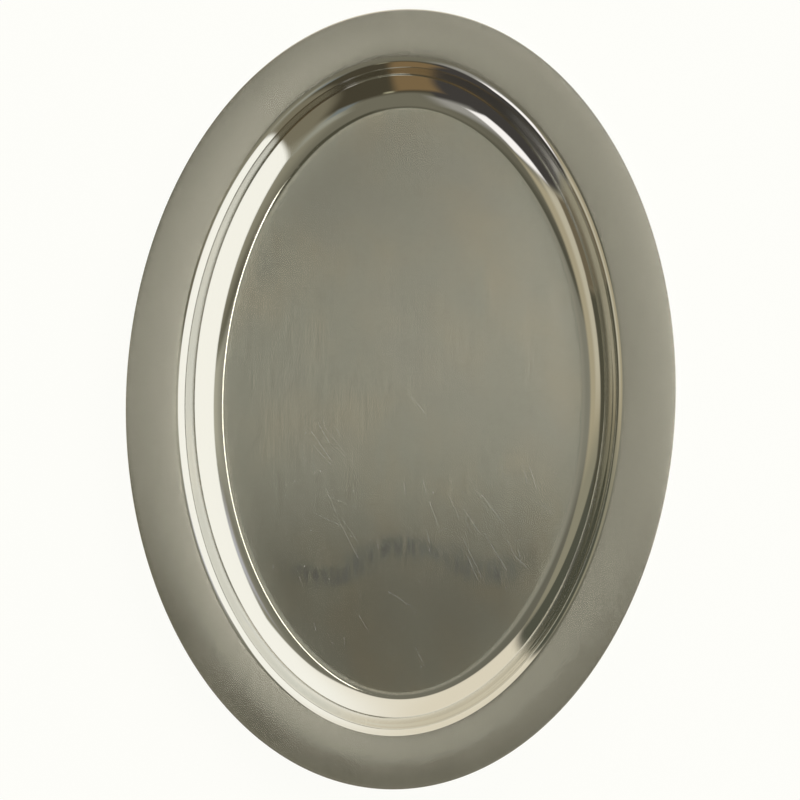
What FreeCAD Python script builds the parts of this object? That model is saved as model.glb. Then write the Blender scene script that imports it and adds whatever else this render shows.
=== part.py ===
"""Oval serving tray, pressed from one sheet of stainless steel.

Frame: +Z up, long axis along Y, origin on the surface the tray stands on, under the centre of the oval.
One section, from the outer edge to the flat floor, is swept round the oval. A flat plate closes the floor.
"""

import FreeCAD, Part
import math
import os

import Sketcher

PARTS_FOLDER = "parts"
NODE = "tray"

# Driving dimensions in millimetres and degrees.
DIMENSIONS = {
    "tray_length": 450.0,       # outer edge to outer edge along Y
    "tray_width": 314.0,        # outer edge to outer edge along X
    "sheet_thickness": 0.8,     # the same everywhere, as in a pressing
    "tray_depth": 19.35,        # from the highest line of the rim down to the upper face of the floor
    "rim_width": 28.25,         # from the outer edge to the line where the rim turns down
    "rim_crown_inset": 1.0,     # from the outer edge to the highest line of the rim
    "rim_crown_radius": 280.0,  # the rim's slight crown, which lets it slope down towards the wall
    "crest_radius": 7.8,        # outer radius of the turn from rim to wall
    "wall_slope": 60.0,         # steepest slope of the wall, from the horizontal
    "cove_radius": 22.6,        # inner radius of the turn from wall to floor
    "edge_radius": 0.3,         # deburred corners of the outer edge
    "floor_lip": 12.0,          # flat strip of floor that belongs to the swept section
    "floor_plate_inset": 61.0,  # outer edge to the edge of the plate, which ends within the floor lip
}

# Ends of a sketch element, as the Sketcher numbers them.
START = 1
END = 2
CENTRE = 3

# The sketch's own horizontal axis, whose start is the origin.
AXIS = -1


def make_dimensions(doc):
    """The spreadsheet that holds the driving dimensions, one alias to a row."""
    sheet = doc.addObject("Spreadsheet::Sheet", "Dimensions")
    for row, (alias, value) in enumerate(DIMENSIONS.items(), start=1):
        sheet.set(f"A{row}", alias)
        sheet.set(f"B{row}", str(value))
        sheet.setAlias(f"B{row}", alias)
    doc.recompute()
    return sheet


def make_sketch(body, name, plane_role):
    """A sketch on one of the body's own origin planes."""
    plane = next(item for item in body.Origin.OriginFeatures if item.Role == plane_role)
    sketch = body.newObject("Sketcher::SketchObject", name)
    sketch.AttachmentSupport = [(plane, "")]
    sketch.MapMode = "FlatFace"
    return sketch


def drive(sketch, name, constraint, expression):
    """Adds a constraint, names it, and binds it to the spreadsheet."""
    index = sketch.addConstraint(constraint)
    sketch.renameConstraint(index, name)
    sketch.setExpression(f"Constraints.{name}", expression)


def arc(centre, radius, start_angle, end_angle):
    """A counter-clockwise arc in the sketch plane, between angles in radians."""
    circle = Part.Circle(FreeCAD.Vector(*centre, 0), FreeCAD.Vector(0, 0, 1), radius)
    return Part.ArcOfCircle(circle, start_angle, end_angle)


def line(start, end):
    return Part.LineSegment(FreeCAD.Vector(*start, 0), FreeCAD.Vector(*end, 0))


def point_on(centre, radius, angle):
    return (centre[0] + radius * math.cos(angle), centre[1] + radius * math.sin(angle))


def section_geometry(sheet):
    """The sheet's section, as sketch elements by name: out from the centre is +x and up is +y.

    The upper face runs from the outer edge inwards over rim, crest, wall and cove to the floor,
    and the lower face runs back one sheet thickness below it.
    """
    thickness = sheet.sheet_thickness
    slope = math.radians(sheet.wall_slope)
    edge_x = sheet.tray_length / 2
    crown_x = edge_x - sheet.rim_crown_inset
    turn_x = edge_x - sheet.rim_width
    rim_radius = sheet.rim_crown_radius
    up = math.pi / 2
    down = -math.pi / 2

    rim_centre = (crown_x, thickness + sheet.tray_depth - rim_radius)
    turn_angle = up + math.asin((crown_x - turn_x) / rim_radius)
    crest_centre = point_on(rim_centre, rim_radius - sheet.crest_radius, turn_angle)
    bends = sheet.crest_radius + sheet.cove_radius
    straight_drop = crest_centre[1] - thickness - sheet.cove_radius + bends * math.cos(slope)
    straight_run = straight_drop / math.tan(slope)
    floor_x = crest_centre[0] - bends * math.sin(slope) - straight_run
    lip_x = floor_x - sheet.floor_lip
    cove_centre = (floor_x, thickness + sheet.cove_radius)

    corner_x = edge_x - sheet.edge_radius
    upper_reach = rim_radius - sheet.edge_radius
    lower_reach = rim_radius - thickness + sheet.edge_radius
    upper_angle = math.acos((corner_x - crown_x) / upper_reach)
    lower_angle = math.acos((corner_x - crown_x) / lower_reach)
    upper_corner = point_on(rim_centre, upper_reach, upper_angle)
    lower_corner = point_on(rim_centre, lower_reach, lower_angle)

    crest_upper = sheet.crest_radius
    crest_lower = sheet.crest_radius - thickness
    cove_upper = sheet.cove_radius
    cove_lower = sheet.cove_radius + thickness
    return {
        "rim_top": arc(rim_centre, rim_radius, upper_angle, turn_angle),
        "crest_top": arc(crest_centre, crest_upper, turn_angle, up + slope),
        "wall_top": line(
            point_on(crest_centre, crest_upper, up + slope),
            point_on(cove_centre, cove_upper, down + slope),
        ),
        "cove_top": arc(cove_centre, cove_upper, down, down + slope),
        "floor_top": line((floor_x, thickness), (lip_x, thickness)),
        "lip_end": line((lip_x, thickness), (lip_x, 0)),
        "floor_bottom": line((lip_x, 0), (floor_x, 0)),
        "cove_bottom": arc(cove_centre, cove_lower, down, down + slope),
        "wall_bottom": line(
            point_on(cove_centre, cove_lower, down + slope),
            point_on(crest_centre, crest_lower, up + slope),
        ),
        "crest_bottom": arc(crest_centre, crest_lower, turn_angle, up + slope),
        "rim_bottom": arc(rim_centre, rim_radius - thickness, lower_angle, turn_angle),
        "lower_corner": arc(lower_corner, sheet.edge_radius, lower_angle + math.pi, 2 * math.pi),
        "edge": line((edge_x, lower_corner[1]), (edge_x, upper_corner[1])),
        "upper_corner": arc(upper_corner, sheet.edge_radius, 0, upper_angle),
    }


def add_section_constraints(sketch, element):
    """Joins the section's elements end to end and drives its sizes from the spreadsheet."""
    tangent_joints = (
        ("upper_corner", END, "rim_top", START),
        ("rim_top", END, "crest_top", START),
        ("crest_top", END, "wall_top", START),
        ("wall_top", END, "cove_top", END),
        ("cove_top", START, "floor_top", START),
        ("floor_bottom", END, "cove_bottom", START),
        ("cove_bottom", END, "wall_bottom", START),
        ("wall_bottom", END, "crest_bottom", END),
        ("crest_bottom", START, "rim_bottom", END),
        ("rim_bottom", START, "lower_corner", START),
        ("lower_corner", END, "edge", START),
        ("edge", END, "upper_corner", START),
    )
    for first, first_end, second, second_end in tangent_joints:
        sketch.addConstraint(
            Sketcher.Constraint("Tangent", element[first], first_end, element[second], second_end)
        )
    square_joints = (("floor_top", "lip_end"), ("lip_end", "floor_bottom"))
    for first, second in square_joints:
        sketch.addConstraint(
            Sketcher.Constraint("Coincident", element[first], END, element[second], START)
        )
    concentric_pairs = (
        ("rim_top", "rim_bottom"),
        ("crest_top", "crest_bottom"),
        ("cove_top", "cove_bottom"),
    )
    for upper, lower in concentric_pairs:
        sketch.addConstraint(
            Sketcher.Constraint("Coincident", element[upper], CENTRE, element[lower], CENTRE)
        )
    for name in ("floor_top", "floor_bottom"):
        sketch.addConstraint(Sketcher.Constraint("Horizontal", element[name]))
    for name in ("lip_end", "edge"):
        sketch.addConstraint(Sketcher.Constraint("Vertical", element[name]))
    sketch.addConstraint(Sketcher.Constraint("PointOnObject", element["floor_bottom"], START, AXIS))

    radii = {
        "rim_top": "Dimensions.rim_crown_radius",
        "crest_top": "Dimensions.crest_radius",
        "crest_bottom": "Dimensions.crest_radius - Dimensions.sheet_thickness",
        "cove_top": "Dimensions.cove_radius",
        "cove_bottom": "Dimensions.cove_radius + Dimensions.sheet_thickness",
        "upper_corner": "Dimensions.edge_radius",
        "lower_corner": "Dimensions.edge_radius",
    }
    for name, expression in radii.items():
        radius = sketch.Geometry[element[name]].Radius
        constraint = Sketcher.Constraint("Radius", element[name], radius)
        drive(sketch, f"{name}_radius", constraint, expression)

    slope = math.radians(DIMENSIONS["wall_slope"])
    wall_angle = Sketcher.Constraint("Angle", element["wall_bottom"], slope)
    drive(sketch, "wall_angle", wall_angle, "Dimensions.wall_slope * 1 deg")
    turn = sketch.getPoint(element["crest_top"], START)
    turn_place = Sketcher.Constraint("DistanceX", AXIS, START, element["crest_top"], START, turn.x)
    drive(sketch, "turn_place", turn_place, "Dimensions.tray_length / 2 - Dimensions.rim_width")
    crown = sketch.getPoint(element["rim_top"], CENTRE)
    crown_place = Sketcher.Constraint("DistanceX", AXIS, START, element["rim_top"], CENTRE, crown.x)
    drive(sketch, "crown_place", crown_place, "Dimensions.tray_length / 2 - Dimensions.rim_crown_inset")
    crown_depth = Sketcher.Constraint("DistanceY", element["rim_top"], CENTRE, AXIS, START, -crown.y)
    depth_below = "Dimensions.rim_crown_radius - Dimensions.tray_depth - Dimensions.sheet_thickness"
    drive(sketch, "crown_depth", crown_depth, depth_below)
    edge = sketch.getPoint(element["edge"], START)
    edge_place = Sketcher.Constraint("DistanceX", AXIS, START, element["edge"], START, edge.x)
    drive(sketch, "edge_place", edge_place, "Dimensions.tray_length / 2")
    lip_length = DIMENSIONS["floor_lip"]
    floor = element["floor_top"]
    lip = Sketcher.Constraint("DistanceX", floor, END, floor, START, lip_length)
    drive(sketch, "lip_length", lip, "Dimensions.floor_lip")


def make_section(body, sheet):
    """The sheet's section on the YZ plane, at the +Y end of the oval."""
    sketch = make_sketch(body, "SheetSection", "YZ_Plane")
    geometry = section_geometry(sheet)
    sketch.addGeometry(list(geometry.values()), False)
    element = {name: index for index, name in enumerate(geometry)}
    add_section_constraints(sketch, element)
    return sketch


def make_oval(body, name, half_length, half_width, inset):
    """An ellipse on the XY plane with its long axis along Y, drawn inset from the tray's outer edge."""
    sketch = make_sketch(body, name, "XY_Plane")
    long_end = FreeCAD.Vector(0, half_length, 0)
    short_end = FreeCAD.Vector(half_width, 0, 0)
    ellipse = sketch.addGeometry(Part.Ellipse(long_end, short_end, FreeCAD.Vector()), False)
    sketch.exposeInternalGeometry(ellipse)
    long_axis = ellipse + 1
    short_axis = ellipse + 2
    sketch.addConstraint(Sketcher.Constraint("Coincident", ellipse, CENTRE, AXIS, START))
    sketch.addConstraint(Sketcher.Constraint("Vertical", long_axis))
    for constraint_name, axis, half, size in (
        ("long_axis", long_axis, half_length, "tray_length"),
        ("short_axis", short_axis, half_width, "tray_width"),
    ):
        constraint = Sketcher.Constraint("Distance", axis, 2 * half)
        drive(sketch, constraint_name, constraint, f"Dimensions.{size} - 2 * {inset}")
    return sketch


def make_tray(doc, sheet):
    """The whole tray as one body: the swept rim and wall, then the floor plate."""
    body = doc.addObject("PartDesign::Body", NODE)
    body.Label = NODE

    outline = make_oval(body, "OuterEdge", sheet.tray_length / 2, sheet.tray_width / 2, "0")
    section = make_section(body, sheet)
    doc.recompute()
    rim_and_wall = body.newObject("PartDesign::AdditivePipe", "RimAndWall")
    rim_and_wall.Profile = section
    rim_and_wall.Spine = (outline, ["Edge1"])
    doc.recompute()

    inset = sheet.floor_plate_inset
    half_length = sheet.tray_length / 2 - inset
    half_width = sheet.tray_width / 2 - inset
    plate_outline = make_oval(
        body, "FloorOutline", half_length, half_width, "Dimensions.floor_plate_inset"
    )
    floor = body.newObject("PartDesign::Pad", "Floor")
    floor.Profile = plate_outline
    floor.setExpression("Length", "Dimensions.sheet_thickness")
    floor.Refine = True
    doc.recompute()

    body.Tip = floor
    body.Placement = FreeCAD.Placement()
    doc.recompute()
    return body


def check_document(doc, bodies):
    """Stops before anything is written if a feature failed or a shape is unusable."""
    for item in doc.Objects:
        if "Invalid" in item.State or "Error" in item.State:
            raise RuntimeError(f"{item.Label} failed: {item.State}")
    for body in bodies:
        shape = body.Shape
        if shape.isNull() or not shape.isValid() or len(shape.Solids) != 1:
            raise RuntimeError(f"{body.Label} is not one valid solid")


def main():
    doc = FreeCAD.newDocument("ServingTray")
    sheet = make_dimensions(doc)
    tray = make_tray(doc, sheet)
    check_document(doc, [tray])
    os.makedirs(PARTS_FOLDER, exist_ok=True)
    tray.Shape.exportStep(os.path.join(PARTS_FOLDER, f"{tray.Label}.step"))
    box = tray.Shape.optimalBoundingBox(True, False)
    print(f"{tray.Label}: {box.XLength:.2f} x {box.YLength:.2f} x {box.ZLength:.2f} mm")
    print(f"volume {tray.Shape.Volume:.0f} cubic mm, faces {len(tray.Shape.Faces)}")


main()
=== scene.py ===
"""Looks of the oval serving tray: the pressed sheet, its steel, and the studio round it."""

import math

import bpy
from mathutils import Matrix, Vector


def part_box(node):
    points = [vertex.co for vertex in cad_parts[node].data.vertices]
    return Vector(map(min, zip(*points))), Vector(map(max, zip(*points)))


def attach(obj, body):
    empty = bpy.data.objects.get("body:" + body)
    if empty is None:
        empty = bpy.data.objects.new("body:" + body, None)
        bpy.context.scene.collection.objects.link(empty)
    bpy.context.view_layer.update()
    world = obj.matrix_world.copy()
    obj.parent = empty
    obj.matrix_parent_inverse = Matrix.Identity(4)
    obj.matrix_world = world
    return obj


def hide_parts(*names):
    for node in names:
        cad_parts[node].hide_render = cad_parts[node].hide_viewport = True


BODY = "root"
NODE = "tray"

# The sheet's section, in metres and radians, as the frame has it.
SHEET = 0.0008
RIM_WIDTH = 0.02825
CROWN_INSET = 0.0010
CROWN_RADIUS = 0.2800
CREST_RADIUS = 0.0078
COVE_RADIUS = 0.0226
WALL_SLOPE = math.radians(60)
EDGE_RADIUS = 0.0003

# How finely the sheet is divided.
ROUND_STEPS = 480
RIM_STEPS = 14
CREST_STEPS = 12
WALL_STEPS = 4
COVE_STEPS = 14
FLOOR_STEPS = 12
CORNER_STEPS = 4

# The camera: how many degrees it leans towards +X and -Y from straight above, its roll, its distance from
# the tray in metres, and how far the tray sits off the middle of its view. Sensor and lens in millimetres.
CAMERA_LEAN_X = 10.08
CAMERA_LEAN_Y = 13.00
CAMERA_ROLL = -0.02
CAMERA_DISTANCE = 1.5135
CAMERA_SLIDE = (0.00118, 0.00332)
SENSOR = 36.0
LENS = 119.67
CLIP_START = 0.05
CLIP_END = 50.0

# The sheet's two sides, which are also the places of their materials on the piece.
UPPER = 0
LOWER = 1

# The inset attribute at the middle of the floor and of the underside. Any value far inside the rim will do.
MIDDLE_INSET = 1.0


# ---------------------------------------------------------------- section and mesh


def arc_points(centre, radius, start, end, steps):
    """Points on an arc in the section, both ends included."""
    points = []
    for step in range(steps + 1):
        angle = start + (end - start) * step / steps
        points.append((centre[0] + radius * math.cos(angle), centre[1] + radius * math.sin(angle)))
    return points


def line_points(start, end, steps):
    """Points on a straight stretch, both ends included."""
    points = []
    for step in range(steps + 1):
        share = step / steps
        points.append((start[0] + (end[0] - start[0]) * share, start[1] + (end[1] - start[1]) * share))
    return points


def point_on(centre, radius, angle):
    return centre[0] + radius * math.cos(angle), centre[1] + radius * math.sin(angle)


def sheet_section(height):
    """The section as runs of (inset, z) points, from the floor's upper face over the edge to its lower one.

    Inset is measured inwards from the outer edge. Each run starts where the one before it ends.
    """
    quarter = math.pi / 2
    rim_centre = (CROWN_INSET, height - CROWN_RADIUS)
    turn_angle = quarter - math.asin((RIM_WIDTH - CROWN_INSET) / CROWN_RADIUS)
    crest_centre = point_on(rim_centre, CROWN_RADIUS - CREST_RADIUS, turn_angle)
    bends = CREST_RADIUS + COVE_RADIUS
    wall_drop = crest_centre[1] - SHEET - COVE_RADIUS + bends * math.cos(WALL_SLOPE)
    floor_inset = crest_centre[0] + bends * math.sin(WALL_SLOPE) + wall_drop / math.tan(WALL_SLOPE)
    cove_centre = (floor_inset, SHEET + COVE_RADIUS)

    def face(below, corner_angle):
        """Cove, wall, crest and rim of the face this far below the upper one, from the floor outwards."""
        wall_angle = quarter - WALL_SLOPE
        cove = arc_points(cove_centre, COVE_RADIUS + below, -quarter, -quarter - WALL_SLOPE, COVE_STEPS)
        crest = arc_points(crest_centre, CREST_RADIUS - below, wall_angle, turn_angle, CREST_STEPS)
        wall = line_points(cove[-1], crest[0], WALL_STEPS)
        rim = arc_points(rim_centre, CROWN_RADIUS - below, turn_angle, corner_angle, RIM_STEPS)
        return [cove, wall, crest, rim]

    corner_run = CROWN_INSET - EDGE_RADIUS
    upper_reach = CROWN_RADIUS - EDGE_RADIUS
    lower_reach = CROWN_RADIUS - SHEET + EDGE_RADIUS
    upper_angle = math.pi - math.acos(corner_run / upper_reach)
    lower_angle = math.pi - math.acos(corner_run / lower_reach)
    upper_corner = point_on(rim_centre, upper_reach, upper_angle)
    lower_corner = point_on(rim_centre, lower_reach, lower_angle)
    upper_turn = arc_points(upper_corner, EDGE_RADIUS, upper_angle, math.pi, CORNER_STEPS)
    lower_turn = arc_points(lower_corner, EDGE_RADIUS, math.pi, math.pi + lower_angle, CORNER_STEPS)
    edge = [upper_turn[-1], lower_turn[0]]

    runs = [(UPPER, points) for points in face(0, upper_angle)]
    runs += [(UPPER, upper_turn), (UPPER, edge), (UPPER, lower_turn)]
    runs += [(LOWER, points[::-1]) for points in reversed(face(SHEET, lower_angle))]
    return runs


def oval_point(half_length, half_width, inset, turn):
    """A point on the curve parallel to the outer edge. Turn 0 is the +Y end, and turns go clockwise."""
    normal = Vector((math.sin(turn) / half_width, math.cos(turn) / half_length)).normalized()
    return half_width * math.sin(turn) - inset * normal.x, half_length * math.cos(turn) - inset * normal.y


def sheet_rings(half_length, half_width, height):
    """Each ring's side and (x, y, z, inset) points, from the floor's middle to the underside's."""
    turns = [2 * math.pi * step / ROUND_STEPS for step in range(ROUND_STEPS)]
    runs = sheet_section(height)
    floor_inset = runs[0][1][0][0]
    floor_edge = [oval_point(half_length, half_width, floor_inset, turn) for turn in turns]

    def floor_ring(step, z):
        """A ring on the flat part, this many steps out from the middle."""
        share = step / FLOOR_STEPS
        return [(x * share, y * share, z, floor_inset / share) for x, y in floor_edge]

    rings = [(UPPER, floor_ring(step, SHEET)) for step in range(1, FLOOR_STEPS)]
    for side, points in runs:
        fresh = points if points is runs[0][1] else points[1:]
        for inset, z in fresh:
            outline = [oval_point(half_length, half_width, inset, turn) for turn in turns]
            rings.append((side, [(x, y, z, inset) for x, y in outline]))
    rings += [(LOWER, floor_ring(step, 0.0)) for step in range(FLOOR_STEPS - 1, 0, -1)]
    return rings


def sheet_faces(sides):
    """Faces, and the side of each: a fan at both ends of the rings and quads from each ring to the next."""
    pairs = [(step, (step + 1) % ROUND_STEPS) for step in range(ROUND_STEPS)]
    last_ring = 1 + (len(sides) - 1) * ROUND_STEPS
    last = last_ring + ROUND_STEPS
    faces = [(0, 1 + after, 1 + step) for step, after in pairs]
    face_sides = [UPPER] * ROUND_STEPS
    for ring, side in enumerate(sides[1:]):
        start = 1 + ring * ROUND_STEPS
        beyond = start + ROUND_STEPS
        faces += [(start + step, start + after, beyond + after, beyond + step) for step, after in pairs]
        face_sides += [side] * ROUND_STEPS
    faces += [(last, last_ring + step, last_ring + after) for step, after in pairs]
    face_sides += [LOWER] * ROUND_STEPS
    return faces, face_sides


def build_sheet(low, high):
    """The whole pressed sheet as one closed mesh, with the inset of each point and a flat UV map."""
    rings = sheet_rings((high.y - low.y) / 2, (high.x - low.x) / 2, high.z - low.z)
    vertices = [(0.0, 0.0, SHEET)]
    insets = [MIDDLE_INSET]
    for _, ring in rings:
        vertices += [point[:3] for point in ring]
        insets += [point[3] for point in ring]
    vertices.append((0.0, 0.0, 0.0))
    insets.append(MIDDLE_INSET)
    faces, face_sides = sheet_faces([side for side, _ in rings])

    mesh = bpy.data.meshes.new("pressed_sheet")
    mesh.from_pydata(vertices, [], faces)
    mesh.attributes.new("inset", "FLOAT", "POINT").data.foreach_set("value", insets)
    flat = []
    for loop in mesh.loops:
        place = mesh.vertices[loop.vertex_index].co
        flat += [0.5 + place.x, 0.5 + place.y]
    mesh.uv_layers.new(name="flat").data.foreach_set("uv", flat)
    mesh.polygons.foreach_set("material_index", face_sides)
    mesh.polygons.foreach_set("use_smooth", [True] * len(faces))
    mesh.update()
    mesh.validate()
    return add_object("pressed_sheet", mesh)


def add_object(name, data):
    """A new object in the scene with this mesh or camera."""
    thing = bpy.data.objects.new(name, data)
    bpy.context.scene.collection.objects.link(thing)
    return thing


# ---------------------------------------------------------------- node helpers


# A thin mark: the range of slopes it may have against its kind's direction, up to which share of its half
# length and half width it is at full strength, and how strong the faintest mark is.
MARK_LEAN = 0.36
MARK_FULL_LENGTH = 0.4
MARK_FULL_WIDTH = 0.3
FAINTEST_MARK = 0.3


class Graph:
    """Short forms for adding nodes to a material's or a world's tree."""

    def __init__(self, tree):
        self.tree = tree
        tree.nodes.clear()

    def add(self, kind, settings=None, **inputs):
        node = self.tree.nodes.new(kind)
        for name, value in (settings or {}).items():
            setattr(node, name, value)
        for name, value in inputs.items():
            self.put(node.inputs[name.replace("_", " ")], value)
        return node

    def put(self, socket, value):
        if isinstance(value, bpy.types.NodeSocket):
            self.tree.links.new(value, socket)
        else:
            socket.default_value = value

    def math(self, operation, first, second=0.0, third=0.0):
        node = self.tree.nodes.new("ShaderNodeMath")
        node.operation = operation
        for socket, value in zip(node.inputs, (first, second, third)):
            self.put(socket, value)
        return node.outputs[0]

    def ramp(self, value, start, end, low=0.0, high=1.0):
        """Low where value is at start, high where it is at end, and held beyond both."""
        node = self.tree.nodes.new("ShaderNodeMapRange")
        node.interpolation_type = "SMOOTHSTEP"
        for name, setting in (
            ("Value", value), ("From Min", start), ("From Max", end), ("To Min", low), ("To Max", high),
        ):
            self.put(node.inputs[name], setting)
        return node.outputs["Result"]

    def mix(self, share, first, second):
        """Colour first where share is 0 and second where it is 1."""
        node = self.tree.nodes.new("ShaderNodeMix")
        node.data_type = "RGBA"
        for index, value in ((0, share), (6, first), (7, second)):
            self.put(node.inputs[index], value)
        return node.outputs[2]

    def blend(self, share, first, second):
        """Number first where share is 0 and second where it is 1."""
        node = self.add("ShaderNodeMix", {"data_type": "FLOAT"})
        for index, value in ((0, share), (2, first), (3, second)):
            self.put(node.inputs[index], value)
        return node.outputs[0]

    def stretched(self, place, scale, turn=0.0):
        """Texture coordinates turned about Z, then scaled along each axis."""
        turned = self.tree.nodes.new("ShaderNodeMapping")
        turned.inputs["Rotation"].default_value = (0.0, 0.0, turn)
        self.put(turned.inputs["Vector"], place)
        scaled = self.tree.nodes.new("ShaderNodeMapping")
        scaled.inputs["Scale"].default_value = scale
        self.put(scaled.inputs["Vector"], turned.outputs[0])
        return scaled.outputs[0]

    def product(self, first, *others):
        """The first factor multiplied by each of the others in turn."""
        total = first
        for factor in others:
            total = self.math("MULTIPLY", total, factor)
        return total

    def brightened(self, colour, gain):
        """The colour times a gain."""
        node = self.add("ShaderNodeVectorMath", {"operation": "SCALE"})
        self.put(node.inputs[0], colour)
        self.put(node.inputs["Scale"], gain)
        return node.outputs[0]

    def noise(self, place, detail=2.0, roughness=0.5):
        node = self.add("ShaderNodeTexNoise", Vector=place, Scale=1.0, Detail=detail, Roughness=roughness)
        return node.outputs["Fac"]

    def needles(self, place, turn, cell, length, width, kept):
        """Thin straight marks: up to 1 on a mark and 0 elsewhere.

        Turn is the marks' direction from +X, cell is the size of the patch that holds one mark at most,
        and kept is the share of patches that have one. Each mark leans and fades by its own amount.
        """
        scale = (1 / cell[0], 1 / cell[1], 1)
        patches = self.stretched(place, scale, -turn)
        spots = self.add("ShaderNodeTexVoronoi", {"voronoi_dimensions": "2D"}, Vector=patches, Scale=1.0)
        offset = self.add("ShaderNodeVectorMath", {"operation": "SUBTRACT"})
        self.put(offset.inputs[0], patches)
        self.put(offset.inputs[1], spots.outputs["Position"])
        along, across, _ = self.add("ShaderNodeSeparateXYZ", Vector=offset.outputs[0]).outputs
        chance, lean, fade = self.add("ShaderNodeSeparateColor", Color=spots.outputs["Color"]).outputs
        slant = self.math("MULTIPLY", self.math("SUBTRACT", lean, 0.5), MARK_LEAN * cell[0] / cell[1])
        across = self.math("MULTIPLY_ADD", along, slant, across)
        half_length = length / cell[0] / 2
        half_width = width / cell[1] / 2
        along = self.math("ABSOLUTE", along)
        across = self.math("ABSOLUTE", across)
        on_length = self.ramp(along, half_length * MARK_FULL_LENGTH, half_length, 1.0, 0.0)
        on_width = self.ramp(across, half_width * MARK_FULL_WIDTH, half_width, 1.0, 0.0)
        vigour = self.math("MULTIPLY_ADD", fade, 1 - FAINTEST_MARK, FAINTEST_MARK)
        return self.product(on_length, on_width, vigour, self.math("LESS_THAN", chance, kept))


def tone(red, green, blue, gain=1.0):
    """A linear colour from sRGB values of 0 to 255."""
    linear = []
    for value in (red, green, blue):
        share = value / 255
        linear.append(gain * (share / 12.92 if share <= 0.04045 else ((share + 0.055) / 1.055) ** 2.4))
    return (*linear, 1.0)


# ---------------------------------------------------------------- materials


# Insets from the outer edge between which a finish or the marks come in or go out, and how far the line
# between two finishes wanders.
SATIN_RIM_ENDS = (RIM_WIDTH + 0.0004, RIM_WIDTH + 0.0012)
SATIN_FLOOR_STARTS = (0.0530, 0.0545)
RIM_TONE_STARTS = (RIM_WIDTH + 0.004, RIM_WIDTH)
MARKS_START = (0.0575, 0.0600)
FINISH_WANDER = 0.0012

# How fine each texture is: about how many of its spots fit in a metre across the tray, along it and
# upwards.
RAGGED_SCALE = (900, 900, 1)
BEND_SCALE = (55, 55, 1)
GRAIN_SCALE = (1700, 45, 1)
STREAK_SCALE = (260, 5, 1)
CLOUD_SCALE = (26, 14, 1)
TINT_SCALE = (11, 17, 1)
TINT_TURN = 0.5
DRIFT_SCALE = (38, 60, 1)
PATCH_SCALE = (330, 60, 1)
MILL_SCALE = (40, 25, 40)

# Scratches on the floor: direction in degrees from +X, patch size, length and width in metres, share of
# patches with a mark, and how strongly it shows.
SCRATCHES = (
    (-61, (0.050, 0.0046), 0.040, 0.00018, 0.24, 0.60),
    (-67, (0.034, 0.0042), 0.024, 0.00016, 0.28, 0.58),
    (-54, (0.040, 0.0048), 0.030, 0.00016, 0.24, 0.52),
    (-78, (0.026, 0.0040), 0.013, 0.00016, 0.28, 0.52),
    (-31, (0.052, 0.0070), 0.036, 0.00016, 0.26, 0.52),
    (16, (0.034, 0.0070), 0.014, 0.00016, 0.22, 0.48),
    (-70, (0.006, 0.0050), 0.0008, 0.00040, 0.08, 0.90),
)
SCRATCH_WAVINESS = 0.0009

# Fine dark marks across the middle of the floor, in the same terms.
HAIRS = (
    (58, (0.030, 0.0050), 0.018, 0.00022, 0.26, 0.60),
    (-14, (0.034, 0.0050), 0.022, 0.00022, 0.30, 0.60),
    (24, (0.022, 0.0050), 0.012, 0.00022, 0.24, 0.55),
    (80, (0.026, 0.0050), 0.014, 0.00020, 0.20, 0.50),
)
HAIR_WAVINESS = 0.0110

# Where along Y the marks lie. Each is a ramp: from, to, and the values there if they aren't 0 and 1.
SCRATCHES_FADE = (0.08, -0.04, 0.12, 1.0)
HAIRS_NEAR_END = (-0.09, -0.05)
HAIRS_FAR_END = (0.09, 0.04)

# How a scratch breaks up: a ramp over its noise.
SCRATCH_BREAKS = (0.38, 0.55, 0.30, 1.0)

# The smear: a band whose middle swings and drifts about a line across the tray. All in metres, apart from its
# wave, in radians to the metre with a phase in radians, and its patches, a ramp over their noise.
SMEAR_MIDDLE = -0.096
SMEAR_SWING = 0.008
SMEAR_WAVE = (62.0, 1.35)
SMEAR_DRIFT = 0.020
SMEAR_HALF_WIDTH = (0.001, 0.0120)
SMEAR_LEFT_END = (-0.078, -0.050)
SMEAR_RIGHT_END = (0.082, 0.050)
SMEAR_PATCHES = (0.30, 0.65, 0.30, 1.0)

# Colours of the steel.
SATIN_COOL = tone(217, 217, 213)
SATIN_WARM = tone(224, 220, 210)
SATIN_CLOUD = tone(211, 212, 207)
SATIN_RIM = tone(219, 218, 213)
SMEAR_TONE = tone(192, 195, 197)
POLISH_TONE = tone(224, 223, 217)
HAIR_TONE = tone(84, 80, 72)
# The scratches' near-white colour is a painted glint: it stands in for the light that the real scratches
# catch.
SCRATCH_GLINT_TONE = tone(255, 255, 252)
MILL_DARK = tone(186, 185, 180)
MILL_LIGHT = tone(198, 196, 190)

# How far the textures change the steel, and its roughness from the smoothest spots to the roughest.
TINT_SPREAD = (0.35, 0.65)
CLOUD_SPREAD = (0.30, 0.70)
GRAIN_CONTRAST = 0.26
STREAK_CONTRAST = 0.10
SATIN_ROUGHNESS = (0.15, 0.18)
RIM_ROUGHER_BY = 0.045
POLISH_SPREAD = (0.3, 0.8)
POLISH_ROUGHNESS = (0.03, 0.07)
SCRATCH_ROUGHNESS = 0.7
MILL_SPREAD = (0.3, 0.7)
MILL_ROUGHNESS = (0.24, 0.36)
BUMP_ON_SATIN = 0.20
BUMP_ON_POLISH = 0.02
BUMP_HEIGHT = 0.00002
ANISOTROPY = 0.9


def new_material(name):
    """A new material and the graph to build it in."""
    material = bpy.data.materials.new(name)
    material.use_nodes = True
    return material, Graph(material.node_tree)


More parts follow.
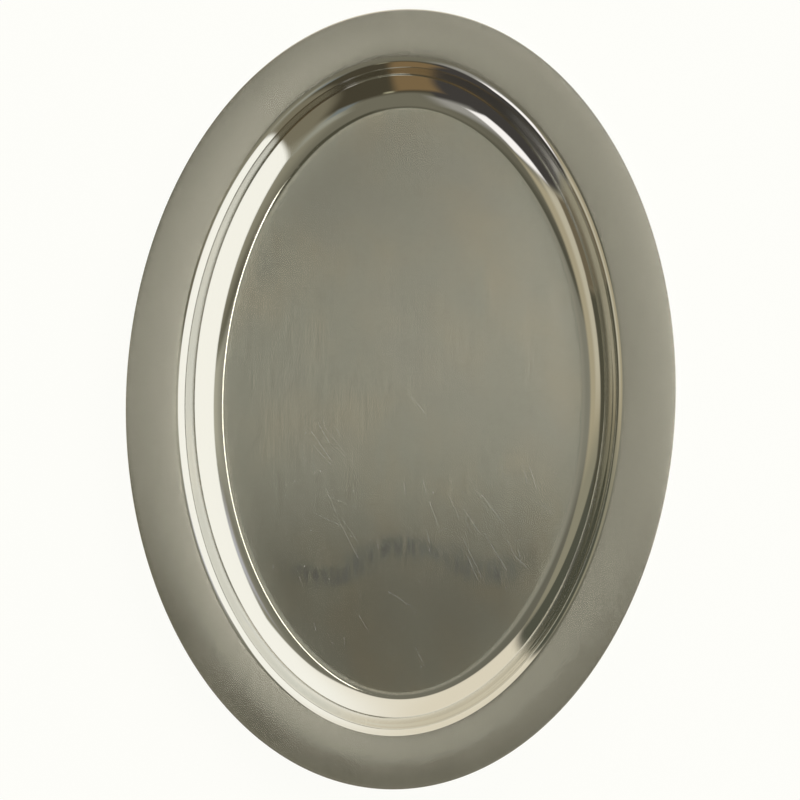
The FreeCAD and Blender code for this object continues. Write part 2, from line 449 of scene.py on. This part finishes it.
def finish_zones(graph, inset, place):
    """How satin the upper face is: 1 on the rim and the floor, 0 on the polished turn between them."""
    ragged = graph.noise(graph.stretched(place, RAGGED_SCALE), 2.0)
    wander = graph.product(graph.math("SUBTRACT", ragged, 0.5), FINISH_WANDER)
    line = graph.math("ADD", inset, wander)
    satin_rim = graph.ramp(line, *SATIN_RIM_ENDS, 1.0, 0.0)
    satin_floor = graph.ramp(line, *SATIN_FLOOR_STARTS)
    return graph.math("MAXIMUM", satin_rim, satin_floor)


def worn_marks(graph, place, inset):
    """Scratches, whose mask also carries their painted glint, and dark hair-like marks on the floor. Most
    scratches lie in its nearer half.
    """
    bend = graph.add("ShaderNodeTexNoise", Vector=graph.stretched(place, BEND_SCALE), Scale=1.0, Detail=1.0)

    def marks(kinds, waviness):
        """The strongest of all these marks at each place."""
        wavy = graph.add("ShaderNodeVectorMath", {"operation": "MULTIPLY_ADD"})
        graph.put(wavy.inputs[0], bend.outputs["Color"])
        graph.put(wavy.inputs[1], (waviness, waviness, 0.0))
        graph.put(wavy.inputs[2], place)
        strongest = 0.0
        for turn, cell, length, width, kept, strength in kinds:
            mark = graph.needles(wavy.outputs[0], math.radians(turn), cell, length, width, kept)
            strongest = graph.math("MAXIMUM", graph.product(mark, strength), strongest)
        return strongest

    along = graph.add("ShaderNodeSeparateXYZ", Vector=place).outputs[1]
    on_floor = graph.ramp(inset, *MARKS_START)
    broken = graph.ramp(graph.noise(graph.stretched(place, RAGGED_SCALE), 1.0), *SCRATCH_BREAKS)
    nearer = graph.product(graph.ramp(along, *SCRATCHES_FADE), on_floor)
    scratch_and_glint = graph.product(marks(SCRATCHES, SCRATCH_WAVINESS), broken, nearer)
    middle = graph.product(graph.ramp(along, *HAIRS_NEAR_END), graph.ramp(along, *HAIRS_FAR_END))
    hair = graph.product(marks(HAIRS, HAIR_WAVINESS), middle, on_floor)
    return scratch_and_glint, hair


def smear(graph, place):
    """A cool, dull band wiped across the nearer part of the floor: 1 in its middle and 0 outside it."""
    across, along, _ = graph.add("ShaderNodeSeparateXYZ", Vector=place).outputs
    wave = graph.math("SINE", graph.math("MULTIPLY_ADD", across, *SMEAR_WAVE))
    stray = graph.noise(graph.stretched(place, DRIFT_SCALE), 3.0)
    drift = graph.math("MULTIPLY_ADD", stray, SMEAR_DRIFT, -SMEAR_DRIFT / 2)
    centre = graph.math("ADD", graph.math("MULTIPLY_ADD", wave, SMEAR_SWING, SMEAR_MIDDLE), drift)
    beside = graph.math("ABSOLUTE", graph.math("SUBTRACT", along, centre))
    band = graph.ramp(beside, *SMEAR_HALF_WIDTH, 1.0, 0.0)
    ends = graph.product(graph.ramp(across, *SMEAR_LEFT_END), graph.ramp(across, *SMEAR_RIGHT_END))
    patchy = graph.ramp(graph.noise(graph.stretched(place, PATCH_SCALE), 3.0), *SMEAR_PATCHES)
    return graph.product(band, ends, patchy)


def upper_steel():
    """The upper face: brushed satin on floor and rim, polished between them."""
    material, graph = new_material("brushed_and_polished_steel")
    place = graph.add("ShaderNodeTexCoord").outputs["Object"]
    inset = graph.add("ShaderNodeAttribute", {"attribute_name": "inset"}).outputs["Fac"]
    satin = finish_zones(graph, inset, place)
    scratch_and_glint, hair = worn_marks(graph, place, inset)
    on_rim = graph.ramp(inset, *RIM_TONE_STARTS)

    grain = graph.noise(graph.stretched(place, GRAIN_SCALE), 2.0, 0.6)
    streak = graph.noise(graph.stretched(place, STREAK_SCALE), 3.0, 0.6)
    cloud = graph.noise(graph.stretched(place, CLOUD_SCALE), 3.0, 0.55)
    tint = graph.noise(graph.stretched(place, TINT_SCALE, TINT_TURN), 2.0)

    satin_tone = graph.mix(graph.ramp(tint, *TINT_SPREAD), SATIN_COOL, SATIN_WARM)
    satin_tone = graph.mix(graph.ramp(cloud, *CLOUD_SPREAD), satin_tone, SATIN_CLOUD)
    satin_tone = graph.mix(on_rim, satin_tone, SATIN_RIM)
    satin_tone = graph.mix(smear(graph, place), satin_tone, SMEAR_TONE)
    grain_shade = graph.math("MULTIPLY_ADD", grain, GRAIN_CONTRAST, 1 - GRAIN_CONTRAST / 2)
    streak_shade = graph.math("MULTIPLY_ADD", streak, STREAK_CONTRAST, 1 - STREAK_CONTRAST / 2)
    satin_tone = graph.brightened(satin_tone, graph.product(grain_shade, streak_shade))
    colour = graph.mix(satin, POLISH_TONE, satin_tone)
    colour = graph.mix(hair, colour, HAIR_TONE)
    # Painted glint: the scratches are real wear, and their near-white colour paints the light they catch.
    colour = graph.mix(scratch_and_glint, colour, SCRATCH_GLINT_TONE)

    rough_satin = graph.ramp(cloud, *CLOUD_SPREAD, *SATIN_ROUGHNESS)
    rough_satin = graph.math("ADD", rough_satin, graph.product(on_rim, RIM_ROUGHER_BY))
    rough_polish = graph.ramp(grain, *POLISH_SPREAD, *POLISH_ROUGHNESS)
    rough = graph.blend(satin, rough_polish, rough_satin)
    rough = graph.math("MAXIMUM", rough, graph.product(scratch_and_glint, SCRATCH_ROUGHNESS))

    strength = graph.math("MULTIPLY_ADD", satin, BUMP_ON_SATIN, BUMP_ON_POLISH)
    bump = graph.add("ShaderNodeBump", Strength=strength, Distance=BUMP_HEIGHT, Height=grain)
    tangent = graph.add("ShaderNodeTangent", {"direction_type": "UV_MAP", "uv_map": "flat"})
    shader = graph.add(
        "ShaderNodeBsdfPrincipled", Base_Color=colour, Metallic=1.0, Roughness=rough,
        Normal=bump.outputs[0], Tangent=tangent.outputs[0],
    )
    shader.inputs["Anisotropic"].default_value = ANISOTROPY
    graph.add("ShaderNodeOutputMaterial", Surface=shader.outputs[0])
    return material


def lower_steel():
    """The underside: the sheet's plain mill finish."""
    material, graph = new_material("mill_steel")
    place = graph.add("ShaderNodeTexCoord").outputs["Object"]
    cloud = graph.noise(graph.stretched(place, MILL_SCALE), 3.0)
    rough = graph.ramp(cloud, *MILL_SPREAD, *MILL_ROUGHNESS)
    colour = graph.mix(cloud, MILL_DARK, MILL_LIGHT)
    shader = graph.add("ShaderNodeBsdfPrincipled", Base_Color=colour, Metallic=1.0, Roughness=rough)
    graph.add("ShaderNodeOutputMaterial", Surface=shader.outputs[0])
    return material


# ---------------------------------------------------------------- studio


# The studio, as the steel mirrors it. A place in it is the level part (x, y) of the ray's direction, so
# (0, 0) is straight up and the horizon is a circle of radius 1.

# The ceiling from near to far: how far along Y each tone is reached.
CEILING = (
    (0.060, tone(124, 121, 106)),
    (0.140, tone(106, 103, 89)),
    (0.156, tone(96, 94, 81)),
    (0.167, tone(102, 100, 86)),
    (0.196, tone(153, 151, 137)),
    (0.250, tone(155, 153, 139)),
    (0.315, tone(125, 123, 110)),
)

# The ceiling's brightness across X, as ramps: from, to, and the gains there.
DIMMER_LEFT = (-0.45, -0.22, 0.82, 1.0)
BRIGHTER_RIGHT = (0.06, 0.42, 1.0, 1.5)

# Flat panels: corners clockwise as seen on a map with +Y up, softness of the edge, colour.
PANELS = {
    "tan_wall": (((-0.60, 0.45), (-0.60, -0.06), (-0.96, -0.10), (-0.90, 0.40)), 0.10, tone(186, 176, 149)),
    "tan_wall_foot": (
        ((-0.80, 0.24), (-0.80, -0.12), (-1.10, -0.12), (-1.10, 0.24)), 0.10, tone(208, 201, 180),
    ),
    "tan_wall_far": (
        ((-0.58, 0.48), (-0.58, 0.29), (-1.10, 0.29), (-1.10, 0.48)), 0.08, tone(154, 150, 130),
    ),
    "dark_corner": (
        ((-0.60, 0.52), (-0.60, 0.42), (-0.90, 0.34), (-1.10, 0.20), (-1.10, 0.60), (-0.78, 0.66)),
        0.03, tone(90, 91, 79),
    ),
    "far_left_edge": (
        ((-0.905, 0.40), (-0.930, 0.08), (-1.10, 0.08), (-1.10, 0.40)), 0.03, tone(86, 84, 70),
    ),
    "left_edge": (
        ((-0.930, 0.09), (-0.945, -0.12), (-1.10, -0.12), (-1.10, 0.09)), 0.03, tone(118, 108, 88),
    ),
    "near_glow": (((0.18, -0.32), (0.46, -0.28), (0.50, -0.50), (0.28, -0.52)), 0.16, tone(166, 166, 153)),
    "ceiling_recess": (
        ((-0.15, 0.172), (0.06, 0.172), (0.06, 0.05), (-0.10, 0.05)), 0.05, tone(84, 82, 68),
    ),
    "near_dark": (
        ((1.10, -0.55), (1.10, -1.10), (-1.10, -1.10), (-1.10, -0.55)), 0.15, tone(78, 73, 59),
    ),
    "near_right": (
        ((0.46, -0.45), (1.10, -0.45), (1.10, -1.10), (0.46, -1.10)), 0.20, tone(132, 126, 107),
    ),
    "charcoal": (
        ((-0.50, -0.14), (-0.40, -0.42), (-0.42, -1.10), (-1.10, -1.10), (-1.10, -0.14)),
        0.06, tone(72, 69, 67),
    ),
    "wood": (((-0.12, -0.64), (-0.08, -1.10), (-0.46, -1.10), (-0.50, -0.64)), 0.12, tone(136, 114, 82)),
    "wood_chair": (
        ((0.80, -0.58), (0.50, -0.80), (0.56, -0.86), (0.90, -0.62)), 0.05, tone(160, 146, 118),
    ),
    "halo": (((-0.36, -0.14), (-0.36, -0.42), (-0.62, -0.42), (-0.72, -0.12)), 0.16, tone(168, 166, 161)),
    "softbox": (
        ((-0.65, -0.11), (-0.565, -0.355), (-0.72, -0.40), (-0.89, -0.14)),
        0.045, tone(250, 247, 248, 1.32),
    ),
    "near_lamp": (
        ((-0.03, -0.59), (-0.03, -0.65), (-0.10, -0.65), (-0.10, -0.59)), 0.05, tone(182, 178, 151),
    ),
    "cool_patch": (
        ((0.38, -0.46), (0.34, -0.58), (0.18, -0.56), (0.22, -0.46)), 0.09, tone(128, 136, 137),
    ),
    "cool_far": (((0.30, 0.46), (0.46, 0.46), (0.46, 0.34), (0.34, 0.34)), 0.12, tone(200, 200, 208)),
}

# The windows. The right one lies to the right of both its lines. The far one lies beyond its sill, whose Y
# is a ramp over X, and to the right of its end line. Their tone changes across X too.
RIGHT_WINDOW_SIDE = ((0.50, -0.22), (0.42, 0.56))
RIGHT_WINDOW_NEAR_END = ((0.86, -0.63), (0.45, -0.22))
FAR_WINDOW_SILL = (-0.05, 0.20, 0.475, 0.555)
FAR_WINDOW_LEFT_END = ((-0.55, 0.47), (-0.80, 0.72))
WINDOW_EDGE = (-0.02, 0.025)
WINDOW_TONE_CHANGES = (-0.4, 0.45)
WINDOW_LEFT_TONE = tone(217, 209, 191, 1.34)
WINDOW_RIGHT_TONE = tone(243, 242, 236, 1.34)

# The thin lamp: its two ends, half its width, how soft its edge is as a share of that, and its tone.
TUBE_ENDS = ((-0.055, 0.39), (0.095, 0.115))
TUBE_RADIUS = 0.011
TUBE_SOFTNESS = 0.4
TUBE_TONE = tone(255, 250, 232, 4.2)

# What the camera sees behind the tray, and the paper that the tray stands on. The paper's own glow is a
# little weaker to the camera than to the steel.
BACKGROUND_TONE = tone(254, 254, 250)
PAPER_COLOUR = (0.10, 0.10, 0.097, 1.0)
PAPER_GLOW_TONE = tone(253, 253, 249)
PAPER_GLOW = 1.25
PAPER_GLOW_SEEN = 0.95
PAPER_REACH = 6.0
PAPER_GAP = 0.0001


def studio():
    """A world that reads as a soft studio in the steel and as a plain pale backdrop to the camera."""
    world = bpy.data.worlds.new("studio")
    bpy.context.scene.world = world
    world.use_nodes = True
    graph = Graph(world.node_tree)
    ray = graph.add("ShaderNodeTexCoord").outputs["Generated"]
    x, y, _ = graph.add("ShaderNodeSeparateXYZ", Vector=ray).outputs

    def side_of(start, end):
        """How far the ray lies to the right of the line from start to end."""
        run = (Vector(end) - Vector(start)).normalized()
        offset = start[1] * run.x - start[0] * run.y
        across = graph.math("MULTIPLY_ADD", x, run.y, offset)
        return graph.math("MULTIPLY_ADD", y, -run.x, across)

    def within(corners, softness):
        """1 inside the corners, 0 outside them, and soft along the edge."""
        nearest = None
        for start, end in zip(corners, corners[1:] + corners[:1]):
            reach = side_of(start, end)
            nearest = reach if nearest is None else graph.math("MINIMUM", nearest, reach)
        return graph.ramp(nearest, -softness / 2, softness / 2)

    def window():
        """How far the ray lies inside the nearest window: below 0 outside both."""
        right = graph.math("MINIMUM", side_of(*RIGHT_WINDOW_SIDE), side_of(*RIGHT_WINDOW_NEAR_END))
        far = graph.math("SUBTRACT", y, graph.ramp(x, *FAR_WINDOW_SILL))
        far = graph.math("MINIMUM", far, side_of(*FAR_WINDOW_LEFT_END))
        return graph.math("MAXIMUM", right, far)

    def off_tube():
        """How far the ray lies from the thin lamp's middle line or, past its ends, from them."""
        start, end = (Vector(place) for place in TUBE_ENDS)
        run = (end - start).normalized()
        half_length = (end - start).length / 2
        across = graph.math("ABSOLUTE", side_of(start, end))
        along = graph.math("MULTIPLY_ADD", x, run.x, -start.dot(run))
        along = graph.math("MULTIPLY_ADD", y, run.y, along)
        from_middle = graph.math("ABSOLUTE", graph.math("SUBTRACT", along, half_length))
        return graph.math("MAXIMUM", across, graph.math("SUBTRACT", from_middle, half_length))

    reached, colour = CEILING[0]
    for place, ceiling_tone in CEILING[1:]:
        colour = graph.mix(graph.ramp(y, reached, place), colour, ceiling_tone)
        reached = place
    gain = graph.product(graph.ramp(x, *DIMMER_LEFT), graph.ramp(x, *BRIGHTER_RIGHT))
    colour = graph.brightened(colour, gain)
    for corners, softness, panel_tone in PANELS.values():
        colour = graph.mix(within(corners, softness), colour, panel_tone)
    window_tone = graph.mix(graph.ramp(x, *WINDOW_TONE_CHANGES), WINDOW_LEFT_TONE, WINDOW_RIGHT_TONE)
    colour = graph.mix(graph.ramp(window(), *WINDOW_EDGE), colour, window_tone)
    tube_edge = (TUBE_RADIUS * (1 + TUBE_SOFTNESS), TUBE_RADIUS * (1 - TUBE_SOFTNESS))
    colour = graph.mix(graph.ramp(off_tube(), *tube_edge), colour, TUBE_TONE)

    to_steel = graph.add("ShaderNodeBackground", Color=colour, Strength=1.0)
    to_camera = graph.add("ShaderNodeBackground", Color=BACKGROUND_TONE, Strength=1.0)
    seen = graph.add("ShaderNodeLightPath").outputs["Is Camera Ray"]
    both = graph.add("ShaderNodeMixShader", Fac=seen)
    graph.put(both.inputs[1], to_steel.outputs[0])
    graph.put(both.inputs[2], to_camera.outputs[0])
    graph.add("ShaderNodeOutputWorld", Surface=both.outputs[0])


def backdrop(low):
    """A wide sheet of pale, faintly glowing paper under the tray."""
    corners = [(-1, -1), (1, -1), (1, 1), (-1, 1)]
    places = [(x * PAPER_REACH, y * PAPER_REACH, low.z - PAPER_GAP) for x, y in corners]
    mesh = bpy.data.meshes.new("backdrop")
    mesh.from_pydata(places, [], [(0, 1, 2, 3)])
    floor = add_object("backdrop", mesh)
    material, graph = new_material("pale_paper")
    paper = graph.add("ShaderNodeBsdfDiffuse", Color=PAPER_COLOUR)
    seen = graph.add("ShaderNodeLightPath").outputs["Is Camera Ray"]
    strength = graph.math("MULTIPLY_ADD", seen, PAPER_GLOW_SEEN - PAPER_GLOW, PAPER_GLOW)
    glow = graph.add("ShaderNodeEmission", Color=PAPER_GLOW_TONE, Strength=strength)
    both = graph.add("ShaderNodeAddShader")
    graph.put(both.inputs[0], paper.outputs[0])
    graph.put(both.inputs[1], glow.outputs[0])
    graph.add("ShaderNodeOutputMaterial", Surface=both.outputs[0])
    mesh.materials.append(material)


def camera():
    """Looks down at the tray, leaning a little towards +X and -Y."""
    lean_x = math.radians(CAMERA_LEAN_X)
    along_x = (math.cos(lean_x), 0, -math.sin(lean_x))
    along_z = (math.sin(lean_x), 0, math.cos(lean_x))
    about_y = Matrix((along_x, (0, 1, 0), along_z))
    about_x = Matrix.Rotation(math.radians(-CAMERA_LEAN_Y), 3, "X")
    about_z = Matrix.Rotation(math.radians(CAMERA_ROLL), 3, "Z")
    view = (about_z @ about_x @ about_y).transposed()
    data = bpy.data.cameras.new("camera")
    data.sensor_width = SENSOR
    data.lens = LENS
    data.clip_start = CLIP_START
    data.clip_end = CLIP_END
    eye = add_object("camera", data)
    place = view @ Vector((-CAMERA_SLIDE[0], -CAMERA_SLIDE[1], CAMERA_DISTANCE))
    eye.matrix_world = Matrix.Translation(place) @ view.to_4x4()
    bpy.context.scene.camera = eye


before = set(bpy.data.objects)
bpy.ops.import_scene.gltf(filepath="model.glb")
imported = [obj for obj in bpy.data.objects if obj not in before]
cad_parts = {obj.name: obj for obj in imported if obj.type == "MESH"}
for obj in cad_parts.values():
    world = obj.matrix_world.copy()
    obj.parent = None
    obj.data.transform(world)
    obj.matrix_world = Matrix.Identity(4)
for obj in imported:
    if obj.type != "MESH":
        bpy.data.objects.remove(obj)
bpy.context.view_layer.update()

low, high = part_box(NODE)
tray = build_sheet(low, high)
tray.data.materials.append(upper_steel())
tray.data.materials.append(lower_steel())
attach(tray, BODY)
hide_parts(NODE)

studio()
backdrop(low)
camera()
bpy.context.scene.view_settings.view_transform = "Standard"
